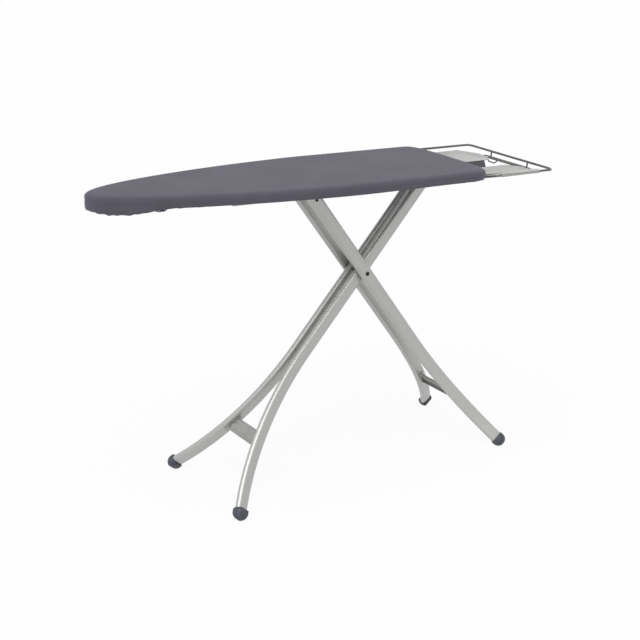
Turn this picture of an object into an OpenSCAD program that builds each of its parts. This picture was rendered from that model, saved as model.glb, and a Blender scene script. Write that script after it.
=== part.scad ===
// Folding ironing board: a padded, covered board on two crossed pairs of flat-oval tube legs,
// with a wire iron rest behind the tail. Units are millimetres, +Z is up and +X points from the
// nose to the iron rest. The origin is on the floor, below the middle of the whole length.

/* [Board] */
// Length of the board from nose to tail
board_len = 1220; // [1050:5:1320]
// Full width of the board
board_w = 366; // [300:2:440]
// Length over which the sides draw in to the nose
nose_len = 780; // [600:10:900]
// Length of the rounded tail end
tail_round = 70; // [45:5:100]
// Thickness of the sewn cover
cover_t = 1.5; // [1:0.1:2.5]
// Thickness of the foam pad
pad_t = 7.5; // [4:0.5:12]
// Thickness of the perforated steel top
panel_t = 0.8; // [0.6:0.1:1.5]
// Diameter of the steam holes in the steel top
steam_hole_d = 14; // [8:1:20]
// Depth of the rim below the steel top
rim_h = 15; // [12:1:20]
// Width of the fabric turned in below the rim
hem_reach = 20; // [16:1:21]

/* [Legs] */
// Length of each upper arm, from the crossing to the top pivot
upper_arm = 345; // [290:5:415]
// Length of each lower arm along the leg, from the crossing to the foot
lower_arm = 773; // [640:1:930]
// Angle of the standing legs above the floor
leg_angle = 50; // [44:1:56]
// Angle of the folded legs
fold_angle = 3; // [3:0.5:6]
// Distance from the crossing to the tail of the board
cross_back = 340; // [300:5:380]
// Width of the flat-oval leg tube, seen from the side of the board
tube_w = 40; // [32:1:42]
// Thickness of the flat-oval leg tube
tube_t = 20; // [16:1:22]
// Wall of the leg tube
tube_wall = 1.1; // [0.9:0.1:2]
// Distance between the centres of the two feet of a pair
stance = 362; // [320:2:440]
// Radius of the outward sweep of the lower legs
sweep_r = 800; // [700:10:900]
// Gap between the two inner tubes
inner_gap = 17.4; // [16:0.2:24]
// Gap between an inner tube and the outer tube beside it
side_gap = 2.2; // [2:0.1:4]
// Radius of the round foot caps
cap_r = 22.4; // [22:0.1:26]
// Width of the brace plates along the leg
brace_w = 45; // [36:1:56]
// Distance from the crossing to the middle of each brace plate
brace_at = 580; // [520:5:610]

/* [Pivots and rails] */
// Diameter of both top axles
axle_d = 10; // [8:0.5:12]
// Diameter of the crossing pin
pin_d = 8; // [6:0.5:10]
// Distance from the top pivots up to the steel top
pivot_drop = 37.5; // [36:0.5:45]
// Thickness of the slide rails
rail_t = 2; // [1.5:0.5:3]
// Height of the slot that the glides run in
slot_h = 14; // [13:0.5:17]
// Number of heights that the catch holds
notches = 7; // [5:1:9]

/* [Iron rest] */
// Distance from the tail to the far end of the iron rest
rest_reach = 247; // [200:1:300]
// Width of the outer wire frame between its wire centres
rest_w = 374; // [320:2:380]
// Diameter of the outer wire
wire_d = 7; // [6:0.5:8]
// Diameter of the inner wires
bar_d = 6; // [5:0.5:7]
// Thickness of the rest's steel plates
plate_t = 1.5; // [1:0.1:2]
// Height of the outer wire above the inner wires
rest_rise = 18; // [14:1:22]

/* [Hidden] */
$fn = 48;

// Clearances
soft_gap = 0.3;   // round soft pieces
seat_gap = 0.1;   // between pieces that bear on each other
bore_gap = 0.05;  // round a shaft in its bore
weld_gap = 0.2;   // left for the weld beads of plates on tubes
past = 5;         // how far a cut runs past the face that it opens

// Lengths
total_len = board_len + rest_reach;
nose_x = -total_len / 2;
tail_x = nose_x + board_len;
cross_x = tail_x - cross_back;
end_x = tail_x + rest_reach - wire_d / 2;

// Heights
foot_flat = 0.4;  // flat worn into each foot cap where it stands
cross_z = cap_r - foot_flat + lower_arm * sin(leg_angle);
pivot_z = cross_z + upper_arm * sin(leg_angle);
panel_z = pivot_z + pivot_drop;
pad_z = panel_z + panel_t + soft_gap;
cover_in_z = pad_z + pad_t + soft_gap;
surface_z = cover_in_z + cover_t;
rim_z = panel_z - rim_h;

// Rim, hem and drawstring
rim_t = 1.2;
rim_inset = cover_t + 1.5;
rim_flange = 10;
hem_top_z = rim_z - soft_gap;
cord_w = 4;
cord_h = 3;
casing_w = cord_w + 2 * soft_gap + 2 * cover_t;
casing_h = cord_h + 2 * soft_gap + 2 * cover_t;
hem_z = hem_top_z - casing_h;

// Pivots along X
pivot_x = cross_x + upper_arm * cos(leg_angle);
slide_open_x = cross_x - upper_arm * cos(leg_angle);
slide_shut_x = pivot_x - 2 * upper_arm * cos(fold_angle);

// Tube centres across Y
inner_y = inner_gap / 2 + tube_t / 2;
outer_y = inner_y + tube_t + side_gap;
tube_top = 18;    // tube left beyond the top pivot
inner_sweep = acos(1 - (stance / 2 - inner_y) / sweep_r);
outer_sweep = acos(1 - (stance / 2 - outer_y) / sweep_r);

// Rails
rail_y = outer_y + tube_t / 2 + 6.2;
rail_out_y = rail_y + rail_t;
rail_below = 9.6;
rail_flange = 18;
rib_t = 2;
rib_w = 26;
rail_top_z = panel_z - rib_t;
rail_x0 = slide_shut_x - 17;
rail_x1 = pivot_x + 40;
rib_xs = [rail_x0 + rib_w, (rail_x0 + rail_x1) / 2, rail_x1 - rib_w];

// Glides and axles
glide_flange_r = 10;
glide_out = 2.2;
slider_end_y = rail_out_y + 7.6;

// Plugs in the tube tops
plug_len = 50;
plug_cap = 3;
bolt_down = 29;   // from the top pivot down to the plug bolt
bolt_d = 5;

// Height lever
rod_d = 8;
rod_y = rail_out_y + 9.4;
rod_z = pivot_z + 18;
catch_t = 3;
catch_y = slider_end_y + soft_gap;
notch_pitch = (slide_open_x - slide_shut_x) / (notches - 1);
handle_x = pivot_x - 110;
handle_len = 80;
handle_reach = 44;
handle_droop = 18;
rod_x0 = slide_shut_x - 18;
rod_x1 = handle_x + handle_len / 2 + 20;
bracket_xs = [rod_x0 + 6, slide_open_x + 24, rod_x1 - 6];
bracket_t = 3;
rivet_r = 2;

// Iron rest
bar_z = hem_z - 0.6 - wire_d / 2;
rest_z = bar_z + rest_rise;
rail_in_y = 125;  // outer wire, where it runs below the board
wire_back = 90;   // length of wire held below the board
wire_rise = 14;   // length over which the outer wire rises past the tail
bar_ys = [92, 104];
bar_step = 12;
corner_r = 18;
post_y = 80;
crossbar_x = rail_x1 + 2;
crossbar_w = 44;
crossbar_y = 140;
crossbar_t = 2;
foot_w = 10;
plate_in_y = 38;
plate_z = bar_z + bar_d / 2 + seat_gap;
strap_t = 2;
strap_screw_ys = [bar_ys[0] - 12, rail_in_y + 10];
strap_xs = [crossbar_x + foot_w / 2, crossbar_x + crossbar_w - foot_w / 2];
screw_r = 2;

// ---- Outline of the board ----
nose_steps = 18;
tail_steps = 12;
tail_power = 3.9;

// Half width of the board at x
function half_w(x) =
    board_w / 2 * sqrt(1 - pow(max(0, 1 - (x - nose_x) / nose_len), 1.5));
function nose_pt(a) =
    [nose_x + nose_len * (1 - pow(cos(a), 4 / 3)), board_w / 2 * sin(a)];
function tail_pt(a) =
    [tail_x - tail_round * (1 - pow(cos(a), 2 / tail_power)), board_w / 2 * pow(sin(a), 2 / tail_power)];
function side_pts() = concat(
    [for (i = [0 : nose_steps]) nose_pt(90 * i / nose_steps)],
    [for (i = [tail_steps - 1 : -1 : 0]) tail_pt(90 * i / tail_steps)]);
function loop_pts() = let (up = side_pts())
    concat(up, [for (i = [len(up) - 2 : -1 : 1]) [up[i][0], -up[i][1]]]);
// The same outline moved in by d along its own normals
function inset_pts(d) = let (p = loop_pts(), n = len(p))
    [for (i = [0 : n - 1])
        let (t = p[(i + 1) % n] - p[(i + n - 1) % n])
        p[i] + d * [t[1], -t[0]] / norm(t)];

module slab(d, z0, z1) {
    translate([0, 0, z0]) linear_extrude(z1 - z0) polygon(inset_pts(d));
}

module ring(d0, d1, z0, z1) {
    difference() {
        slab(d0, z0, z1);
        slab(d1, z0 - past, z1 + past);
    }
}

// ---- Shapes used more than once ----
module rod_between(a, b, r) {
    v = b - a;
    translate(a) rotate([0, acos(v[2] / norm(v)), atan2(v[1], v[0])]) cylinder(r = r, h = norm(v));
}

// A wire through a list of points, with a ball a hair thicker than the wire at each bend
module wire(pts, r) {
    for (i = [0 : len(pts) - 2]) rod_between(pts[i], pts[i + 1], r);
    for (i = [1 : len(pts) - 2]) translate(pts[i]) sphere(r = r + 0.03);
}

// A round bar along Y from y0 to y1
module bar_y(y0, y1, r) {
    translate([0, y0, 0]) rotate([-90, 0, 0]) cylinder(r = r, h = y1 - y0);
}

module sleeve_y(y0, y1, r_out, r_in) {
    difference() {
        bar_y(y0, y1, r_out);
        bar_y(y0 - past, y1 + past, r_in);
    }
}

// Flat oval, its long side along the second axis
module oval(t, w) {
    square([t, w - t], center = true);
    for (s = [-1, 1]) translate([0, s * (w - t) / 2]) circle(d = t);
}

// ---- Legs ----
// A leg lies along +X from the crossing at the origin, and sweeps out to +Y towards its foot.
function sweep_start(turn) = lower_arm - sweep_r * sin(turn);

// A flat-oval bar along the leg, swept like the tube, from u0 to the foot
module leg_bar(y0, turn, t, w, u0, extra) {
    u1 = sweep_start(turn);
    translate([u0, y0, 0]) rotate([0, 90, 0]) rotate(90) linear_extrude(u1 - u0) oval(t, w);
    translate([u1, y0 + sweep_r, 0]) rotate([0, 0, -90])
        rotate_extrude(angle = turn + extra, $fn = 96) translate([sweep_r, 0]) oval(t, w);
}

module leg_tube(y0, turn) {
    top = -(upper_arm + tube_top);
    difference() {
        leg_bar(y0, turn, tube_t, tube_w, top, 0);
        leg_bar(y0, turn, tube_t - 2 * tube_wall, tube_w - 2 * tube_wall, top - past, 0.4);
        bar_y(y0 - tube_t, y0 + tube_t, pin_d / 2 + bore_gap);
        translate([-upper_arm, 0, 0]) bar_y(y0 - tube_t, y0 + tube_t, axle_d / 2 + bore_gap);
        translate([bolt_down - upper_arm, 0, 0]) bar_y(y0, y0 + tube_t, bolt_d / 2 + bore_gap);
    }
}

// Moulded cap on a tube end: a round socket that closes in a ball
module foot_cap(y0, turn) {
    sock = 9;
    wide = 2 * (cap_r + past);
    translate([sweep_start(turn), y0 + sweep_r, 0]) rotate([0, 0, turn]) translate([0, -sweep_r, 0])
        difference() {
            union() {
                sphere(r = cap_r, $fn = 64);
                translate([-sock, 0, 0]) rotate([0, 90, 0]) cylinder(r = cap_r, h = sock, $fn = 64);
            }
            translate([-sock - wide, -wide / 2, -wide / 2]) cube(wide);
            translate([-sock - past, 0, 0]) rotate([0, 90, 0]) rotate(90)
                linear_extrude(sock + past + seat_gap)
                    oval(tube_t + 4 * seat_gap, tube_w + 2 * seat_gap);
        }
}

// Bent sheet plate between the two tubes of a pair: a folded lip along each edge and a tab
// along each tube
module brace(y0, turn) {
    lip = 8;
    sheet = 2;
    tab_h = 18;
    reach = stance / 2;
    face_r = sweep_r + tube_t / 2 + weld_gap;
    u0 = brace_at - brace_w / 2;
    difference() {
        union() {
            translate([u0, -reach, 0]) cube([brace_w, 2 * reach, sheet]);
            for (u = [u0, u0 + brace_w - sheet])
                translate([u, -reach, -lip]) cube([sheet, 2 * reach, lip]);
            both_sides() intersection() {
                translate([u0 - 4, 0, -tab_h / 2]) cube([brace_w + 8, reach, tab_h]);
                sweep_disc(y0, turn, face_r + sheet);
            }
        }
        both_sides() sweep_disc(y0, turn, face_r);
    }
}

// Disc about the centre of a tube's sweep
module sweep_disc(y0, turn, r) {
    translate([sweep_start(turn), y0 + sweep_r, -tube_w]) cylinder(r = r, h = 2 * tube_w, $fn = 96);
}

// Moulded plug: an oval cap over the tube's end and a tongue that holds the axle
module plug(y0) {
    top = -(upper_arm + tube_top);
    slack = 2 * tube_wall + 4 * seat_gap;
    difference() {
        union() {
            translate([top - plug_cap - seat_gap, y0, 0]) rotate([0, 90, 0]) rotate(90)
                linear_extrude(plug_cap) oval(tube_t, tube_w);
            translate([top - 1, y0, 0]) rotate([0, 90, 0]) rotate(90)
                linear_extrude(plug_len) oval(tube_t - slack, tube_w - slack);
        }
        translate([-upper_arm, 0, 0]) bar_y(y0 - tube_t, y0 + tube_t, axle_d / 2 + bore_gap);
        translate([bolt_down - upper_arm, 0, 0]) bar_y(y0, y0 + tube_t, bolt_d / 2 + bore_gap);
    }
}

// Button-head bolt from the outer face of the tube into its plug
module plug_bolt(y0) {
    face = y0 + tube_t / 2;
    translate([bolt_down - upper_arm, 0, 0]) difference() {
        union() {
            bar_y(y0 + 0.5, face + 1, bolt_d / 2);
            bar_y(face + seat_gap, face + 1.2, 4.5);
            translate([0, face + 1.2, 0]) rotate([-90, 0, 0]) cylinder(r1 = 4.5, r2 = 2.8, h = 1.6);
        }
        translate([0, face + 1.4, 0]) rotate([-90, 30, 0]) cylinder(d = 3, h = past, $fn = 6);
    }
}

// Places a leg's own axes into the standing board
module inner_place() {
    translate([cross_x, 0, cross_z]) mirror([1, 0, 0]) rotate([0, leg_angle, 0]) children();
}

module outer_place() {
    translate([cross_x, 0, cross_z]) rotate([0, leg_angle, 0]) children();
}

// Cuts what lies inside it level with the floor
module standing() {
    difference() {
        children();
        translate([-total_len, -stance, -2 * cap_r]) cube([2 * total_len, 2 * stance, 2 * cap_r]);
    }
}

module both_sides() {
    for (s = [0, 1]) mirror([0, s, 0]) children();
}

module front_side() {
    mirror([0, 1, 0]) children();
}

// ---- Board ----
module cover() color([0.36, 0.35, 0.40]) {
    casing_in = hem_reach - casing_w;
    difference() {
        union() {
            difference() {
                slab(0, hem_z, surface_z);
                slab(cover_t, hem_top_z, cover_in_z);
                slab(cover_t, hem_z - past, hem_top_z - cover_t);
            }
            difference() {
                ring(casing_in, hem_reach, hem_z, hem_top_z);
                ring(casing_in + cover_t, hem_reach - cover_t, hem_z + cover_t, hem_top_z - cover_t);
            }
        }
        slab(hem_reach, hem_z - past, cover_in_z);
    }
}

module drawstring() color([0.80, 0.80, 0.78]) {
    d0 = hem_reach - casing_w + cover_t + soft_gap;
    z0 = hem_z + cover_t + soft_gap;
    ring(d0, d0 + cord_w, z0, z0 + cord_h);
}

module pad() color([0.86, 0.85, 0.82]) slab(cover_t + soft_gap, pad_z, pad_z + pad_t);

module top_panel() color([0.60, 0.61, 0.63]) {
    step_x = 60;
    step_y = 48;
    edge = 30;
    cols = floor((board_len - 240) / step_x);
    difference() {
        slab(rim_inset, panel_z, panel_z + panel_t);
        for (i = [0 : cols], j = [-3 : 3]) {
            x = nose_x + 170 + i * step_x;
            y = (j + (i % 2) / 2) * step_y;
            if (abs(y) + steam_hole_d / 2 < half_w(x) - edge)
                translate([x, y, panel_z - past]) cylinder(d = steam_hole_d, h = 2 * past, $fn = 24);
        }
    }
}

module rim() color([0.60, 0.61, 0.63]) {
    ring(rim_inset, rim_inset + rim_t, rim_z, panel_z);
    ring(rim_inset, rim_inset + rim_flange, rim_z, rim_z + rim_t);
}

module cross_ribs() color([0.60, 0.61, 0.63]) {
    for (x = rib_xs) intersection() {
        translate([x - rib_w / 2, -board_w, panel_z - rib_t]) cube([rib_w, 2 * board_w, rib_t]);
        slab(rim_inset + rim_t + seat_gap, panel_z - rib_t, panel_z);
    }
}

module slide_rail() {
    below_z = pivot_z - rail_below;
    difference() {
        union() {
            translate([rail_x0, rail_y, below_z]) cube([rail_x1 - rail_x0, rail_t, rail_top_z - below_z]);
            translate([rail_x0, rail_y, rail_top_z - rail_t])
                cube([rail_x1 - rail_x0, rail_flange, rail_t]);
        }
        translate([pivot_x, 0, pivot_z]) bar_y(rail_y - past, rail_out_y + past, axle_d / 2 + bore_gap);
        for (x = [slide_open_x, slide_shut_x])
            translate([x, 0, pivot_z]) bar_y(rail_y - past, rail_out_y + past, slot_h / 2);
        translate([slide_shut_x, rail_y - past, pivot_z - slot_h / 2])
            cube([slide_open_x - slide_shut_x, rail_t + 2 * past, slot_h]);
    }
}

module slide_rail_back() color([0.62, 0.63, 0.65]) slide_rail();

// The front rail also has the rivet holes of the lever brackets
module slide_rail_front() color([0.62, 0.63, 0.65]) front_side() difference() {
    slide_rail();
    for (x = bracket_xs) translate([x + 10, 0, rod_z])
        bar_y(rail_y - past, rail_out_y + past, rivet_r + bore_gap);
}

// ---- Height lever ----
module lever_brackets() color([0.62, 0.63, 0.65]) front_side() {
    y0 = rail_out_y + seat_gap;
    for (x = bracket_xs) difference() {
        union() {
            translate([x - bracket_t / 2, y0, rod_z - 7]) cube([bracket_t, rod_y + 6.5 - y0, 13]);
            translate([x - bracket_t / 2, y0, rod_z - 7]) cube([18, rail_t, 13]);
        }
        translate([x - past, rod_y, rod_z]) rotate([0, 90, 0])
            cylinder(r = rod_d / 2 + bore_gap, h = 2 * past);
        translate([x + 10, 0, rod_z]) bar_y(rail_y, rail_out_y + past, rivet_r + bore_gap);
    }
}

module bracket_rivets() color([0.70, 0.70, 0.72]) front_side() {
    y_in = rail_y - seat_gap;
    y_out = rail_out_y + seat_gap + rail_t + seat_gap;
    for (x = bracket_xs) translate([x + 10, 0, rod_z]) {
        bar_y(y_in, y_out, rivet_r);
        bar_y(y_in - 1.2, y_in, 3.6);
        bar_y(y_out, y_out + 1.2, 3.6);
    }
}

// Torsion spring round the rod: close coils, one leg on the rail and one below the handle
module lever_spring() color([0.45, 0.46, 0.48]) front_side() {
    wire_r = 0.8;
    leg_r = 0.9 * wire_r;
    coil_r = rod_d / 2 + 0.4 + wire_r;
    coils = 6;
    pitch = 2 * wire_r;
    last = (coils - 1) * pitch;
    out_side = [for (i = [0 : coils - 1], a = [-60 : 30 : 60])
        [coil_r + wire_r * cos(a), i * pitch + wire_r * sin(a)]];
    in_side = [for (i = [coils - 1 : -1 : 0], a = [60 : -30 : -60])
        [coil_r - wire_r * cos(a), i * pitch + wire_r * sin(a)]];
    translate([handle_x - handle_len / 2 - 14, rod_y, rod_z]) {
        rotate([0, 90, 0]) rotate_extrude() polygon(concat(out_side, in_side));
        translate([0, -coil_r, -12]) cylinder(r = leg_r, h = 12);
        translate([last, 0, -coil_r]) rotate([0, 90, 0]) cylinder(r = leg_r, h = 14);
    }
}

module lever_rod() color([0.62, 0.63, 0.65]) front_side()
    translate([rod_x0, rod_y, rod_z]) rotate([0, 90, 0]) cylinder(d = rod_d, h = rod_x1 - rod_x0);

// Notched plate hung from the rod: each notch stands over the slider axle at one height
module lever_catch() color([0.62, 0.63, 0.65]) front_side() {
    end = 8;
    depth = 5.6;     // of the plate below the middle of the axle
    notch_r = axle_d / 2 + soft_gap;
    difference() {
        translate([slide_shut_x - end, catch_y, pivot_z - depth])
            cube([slide_open_x - slide_shut_x + 2 * end, catch_t, rod_z - pivot_z + depth]);
        translate([rod_x0 - past, rod_y, rod_z]) rotate([0, 90, 0])
            cylinder(r = rod_d / 2 + bore_gap, h = rod_x1 - rod_x0);
        for (i = [0 : notches - 1]) translate([slide_open_x - i * notch_pitch, 0, pivot_z]) {
            bar_y(catch_y - past, catch_y + catch_t + past, notch_r);
            translate([-notch_r, catch_y - past, -depth - past])
                cube([2 * notch_r, catch_t + 2 * past, depth + past]);
        }
    }
}

module handle_place() {
    front_side() translate([handle_x, rod_y, rod_z]) rotate([-handle_droop, 0, 0]) children();
}

module lever_handle() color([0.62, 0.63, 0.65]) handle_place() difference() {
    translate([-handle_len / 2, 0, -1.25]) cube([handle_len, handle_reach, 2.5]);
    translate([-handle_len, 0, 0]) rotate([0, 90, 0])
        cylinder(r = rod_d / 2 + bore_gap, h = 2 * handle_len);
}

module lever_grip() color([0.20, 0.20, 0.22]) handle_place() difference() {
    grip = 26;
    union() {
        translate([-handle_len / 2 - 4, handle_reach - grip + 4, -4.5])
            cube([handle_len + 8, grip - 4.5, 9]);
        translate([-handle_len / 2 - 4, handle_reach - 0.5, 0]) rotate([0, 90, 0])
            cylinder(r = 4.5, h = handle_len + 8);
    }
    translate([-handle_len / 2 - seat_gap, handle_reach - grip - past, -1.25 - seat_gap])
        cube([handle_len + 2 * seat_gap, grip + past + seat_gap, 2.5 + 2 * seat_gap]);
}

// ---- Iron rest ----
module tail_crossbar() color([0.60, 0.61, 0.63]) {
    z0 = bar_z + wire_d / 2 + seat_gap;
    h = panel_z - z0;
    foot_x = crossbar_w - 2 * foot_w;
    translate([crossbar_x, -crossbar_y, 0]) difference() {
        union() {
            translate([foot_w, 0, z0]) cube([foot_x, 2 * crossbar_y, h]);
            translate([0, 0, z0]) cube([crossbar_w, 2 * crossbar_y, crossbar_t]);
        }
        translate([foot_w + crossbar_t, -past, z0 - past])
            cube([foot_x - 2 * crossbar_t, 2 * crossbar_y + 2 * past, h + past - crossbar_t]);
        for (y = strap_screw_ys) for (s = [-1, 1]) for (x = strap_xs)
            translate([x - crossbar_x, crossbar_y + s * y, z0 - past])
                cylinder(r = screw_r + bore_gap, h = 2 * past);
    }
}

// Outer wire: two rails that rise and spread from below the board, and the end bar
module rest_frame() color([0.42, 0.42, 0.41]) {
    y = rest_w / 2;
    r = wire_d / 2;
    both_sides() {
        wire([[tail_x - wire_back, rail_in_y, bar_z], [tail_x, rail_in_y, bar_z],
            [tail_x + wire_rise, y, rest_z], [end_x - corner_r, y, rest_z]], r);
        translate([end_x - corner_r, y - corner_r, rest_z])
            rotate_extrude(angle = 90) translate([corner_r, 0]) circle(r = r);
    }
    translate([end_x, 0, rest_z]) bar_y(corner_r - y, y - corner_r, r);
}

// Two nested U wires that carry the plates, below the end bar
module rest_inner_bars() color([0.42, 0.42, 0.41]) for (i = [0, 1]) {
    x = end_x - 2 - (1 - i) * bar_step;
    y = bar_ys[i];
    x0 = tail_x - wire_back;
    wire([[x0, y, bar_z], [x, y, bar_z], [x, -y, bar_z], [x0, -y, bar_z]], bar_d / 2);
}

// Short posts from the outermost inner wire up to the end bar
module rest_posts() color([0.42, 0.42, 0.41]) for (y = [-post_y, post_y])
    difference() {
        rod_between([end_x - 2, y, bar_z], [end_x, y, rest_z], 2.5);
        translate([end_x, y, rest_z]) bar_y(-past, past, wire_d / 2 + bore_gap);
        translate([end_x - 2, y, bar_z]) bar_y(-past, past, bar_d / 2 + bore_gap);
    }

// U-shaped wire hook below the inner wires
module rest_hook() color([0.42, 0.42, 0.41]) {
    r = 2;
    x = end_x - 2 - bar_step;
    top = bar_z - bar_d / 2 - seat_gap;
    difference() {
        wire([[x, 84, top], [x, 74, top - 9], [x, 48, top - 9], [x, 38, top]], r);
        translate([x, 0, bar_z]) bar_y(0, 100, bar_d / 2 + bore_gap);
    }
}

// Outline of the rest plates, from the tail towards the end bar, for +Y
function plate_outline() = [
    [tail_x + 10, plate_in_y], [tail_x + 190, plate_in_y], [end_x - 22, 72], [end_x - 19, 118],
    [end_x - 40, 162], [end_x - 66, rest_w / 2 + 2 * wire_d],
    [tail_x + wire_rise + 8, rest_w / 2 + 2 * wire_d],
    [tail_x + wire_rise + 8, rest_w / 2 - 37], [tail_x + 10, bar_ys[1] + 6]];

module plate_cut() {
    translate([0, 0, bar_z - 50]) linear_extrude(rest_rise + 100) polygon(plate_outline());
}

// The back plate lies flat on the inner wires, with a deep flange along its inner edge
module rest_plate_back() color([0.66, 0.66, 0.66]) {
    drop = 28;
    y1 = rest_w / 2 - 3;
    intersection() {
        plate_cut();
        translate([tail_x, 0, plate_z]) cube([rest_reach, y1, plate_t]);
    }
    difference() {
        translate([tail_x + 10, plate_in_y, plate_z + plate_t - drop]) cube([176, plate_t, drop]);
        translate([tail_x + 186, plate_in_y - past, plate_z - drop]) rotate([0, -24, 0])
            cube([30, plate_t + 2 * past, 2 * drop]);
    }
}

// The front plate rises from the inner wires and is rolled over the front rail
module rest_plate_front() color([0.66, 0.66, 0.66]) front_side() {
    y_rail = rest_w / 2;
    top = rest_z + wire_d / 2 + seat_gap;
    y_out = y_rail + wire_d / 2 + seat_gap;
    z_in = plate_z;
    intersection() {
        plate_cut();
        translate([tail_x, 0, 0]) rotate([90, 0, 90]) linear_extrude(rest_reach) polygon([
            [plate_in_y, z_in], [110, z_in], [y_rail - 6, top], [y_out, top], [y_out, rest_z - 4],
            [y_out + plate_t, rest_z - 4], [y_out + plate_t, top + plate_t], [y_rail - 6.2, top + plate_t],
            [109.8, z_in + plate_t], [plate_in_y, z_in + plate_t]]);
    }
}

module rest_straps() color([0.62, 0.63, 0.65]) {
    y0 = strap_screw_ys[0] - 6;
    y1 = strap_screw_ys[1] + 6;
    z = bar_z - wire_d / 2 - seat_gap - strap_t;
    for (x = strap_xs) both_sides() difference() {
        translate([x - 5, y0, z]) cube([10, y1 - y0, strap_t]);
        for (y = strap_screw_ys) translate([x, y, z - past])
            cylinder(r = screw_r + bore_gap, h = strap_t + 2 * past);
    }
}

module rest_screws() color([0.30, 0.30, 0.32]) {
    z = bar_z - wire_d / 2 - 2 * seat_gap - strap_t;
    for (x = strap_xs, y = strap_screw_ys) both_sides() translate([x, y, z]) {
        cylinder(r = screw_r, h = strap_t + wire_d + 2 * seat_gap + crossbar_t + 2);
        translate([0, 0, -2]) cylinder(r1 = 3, r2 = 4, h = 2);
    }
}

// ---- Inner legs ----
module inner_leg_back() color([0.74, 0.75, 0.77]) inner_place() leg_tube(inner_y, inner_sweep);

module inner_leg_front() color([0.74, 0.75, 0.77]) front_side() inner_place()
    leg_tube(inner_y, inner_sweep);

module inner_brace() color([0.66, 0.66, 0.65]) inner_place() brace(inner_y, inner_sweep);

module inner_axle() color([0.62, 0.63, 0.65]) translate([pivot_x, 0, pivot_z])
    bar_y(-rail_out_y - 3.2, rail_out_y + 3.2, axle_d / 2);

module inner_axle_sleeves() color([0.25, 0.25, 0.27]) translate([pivot_x, 0, pivot_z]) {
    r_in = axle_d / 2 + bore_gap;
    sleeve_y(-inner_gap / 2 + seat_gap, inner_gap / 2 - seat_gap, 8, r_in);
    both_sides() sleeve_y(inner_y + tube_t / 2 + seat_gap, rail_y - seat_gap, 8, r_in);
}

module inner_axle_clips() color([0.62, 0.63, 0.65]) translate([pivot_x, 0, pivot_z])
    both_sides() sleeve_y(rail_out_y + seat_gap, rail_out_y + 1.3, 9, axle_d / 2 + bore_gap);

module inner_plugs() color([0.25, 0.25, 0.27]) both_sides() inner_place() plug(inner_y);

module inner_plug_bolts() color([0.10, 0.10, 0.10]) both_sides() inner_place() plug_bolt(inner_y);

module inner_foot_back() color([0.27, 0.28, 0.33]) standing() inner_place()
    foot_cap(inner_y, inner_sweep);

module inner_foot_front() color([0.27, 0.28, 0.33]) front_side() standing() inner_place()
    foot_cap(inner_y, inner_sweep);

// Long rivet through all four tubes at the crossing
module crossing_pin() color([0.12, 0.12, 0.12]) translate([cross_x, 0, cross_z]) {
    face = outer_y + tube_t / 2;
    bar_y(-face - 1, face + 1, pin_d / 2);
    both_sides() {
        bar_y(face + seat_gap, face + 1, 6.5);
        translate([0, face + 1, 0]) rotate([-90, 0, 0]) cylinder(r1 = 6.5, r2 = 3.6, h = 1.8);
    }
}

module crossing_sleeve() color([0.25, 0.25, 0.27]) translate([cross_x, 0, cross_z])
    sleeve_y(-inner_gap / 2 + seat_gap, inner_gap / 2 - seat_gap, 8, pin_d / 2 + bore_gap);

module crossing_washers() color([0.25, 0.25, 0.27]) translate([cross_x, 0, cross_z]) both_sides()
    sleeve_y(inner_y + tube_t / 2 + seat_gap, outer_y - tube_t / 2 - soft_gap, 13, pin_d / 2 + bore_gap);

// ---- Outer legs ----
module outer_leg_back() color([0.74, 0.75, 0.77]) outer_place() leg_tube(outer_y, outer_sweep);

module outer_leg_front() color([0.74, 0.75, 0.77]) front_side() outer_place()
    leg_tube(outer_y, outer_sweep);

module outer_brace() color([0.66, 0.66, 0.65]) outer_place() brace(outer_y, outer_sweep);

// The slider axle ends just short of the catch's plate on the front side
module slider_axle() color([0.62, 0.63, 0.65]) translate([slide_open_x, 0, pivot_z])
    bar_y(-slider_end_y, rail_out_y + glide_out + 2, axle_d / 2);

module slider_glides() color([0.25, 0.25, 0.27]) translate([slide_open_x, 0, pivot_z]) both_sides()
    difference() {
        union() {
            bar_y(outer_y + tube_t / 2 + soft_gap, rail_y - soft_gap, glide_flange_r);
            bar_y(rail_y - soft_gap, rail_out_y + soft_gap, slot_h / 2 - seat_gap);
            bar_y(rail_out_y + soft_gap, rail_out_y + glide_out, glide_flange_r);
        }
        bar_y(outer_y, rail_out_y + past, axle_d / 2 + bore_gap);
    }

module outer_plugs() color([0.25, 0.25, 0.27]) both_sides() outer_place() plug(outer_y);

module outer_plug_bolts() color([0.10, 0.10, 0.10]) both_sides() outer_place() plug_bolt(outer_y);

module outer_foot_back() color([0.27, 0.28, 0.33]) standing() outer_place()
    foot_cap(outer_y, outer_sweep);

module outer_foot_front() color([0.27, 0.28, 0.33]) front_side() standing() outer_place()
    foot_cap(outer_y, outer_sweep);

cover();
drawstring();
pad();
top_panel();
rim();
cross_ribs();
slide_rail_front();
slide_rail_back();
tail_crossbar();
rest_frame();
rest_inner_bars();
rest_posts();
rest_hook();
rest_plate_front();
rest_plate_back();
rest_straps();
rest_screws();
lever_brackets();
bracket_rivets();
lever_spring();
inner_leg_front();
inner_leg_back();
inner_brace();
inner_axle();
inner_axle_sleeves();
inner_axle_clips();
inner_plugs();
inner_plug_bolts();
inner_foot_front();
inner_foot_back();
crossing_pin();
crossing_sleeve();
crossing_washers();
outer_leg_front();
outer_leg_back();
outer_brace();
slider_axle();
slider_glides();
outer_plugs();
outer_plug_bolts();
outer_foot_front();
outer_foot_back();
lever_rod();
lever_catch();
lever_handle();
lever_grip();
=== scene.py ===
"""Looks of a folding ironing board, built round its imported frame.

Metres throughout, in the frame's own axes: +X from the nose to the iron rest, +Z up, floor at 0.
"""

from math import acos, cos, pi, radians, sin

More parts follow.
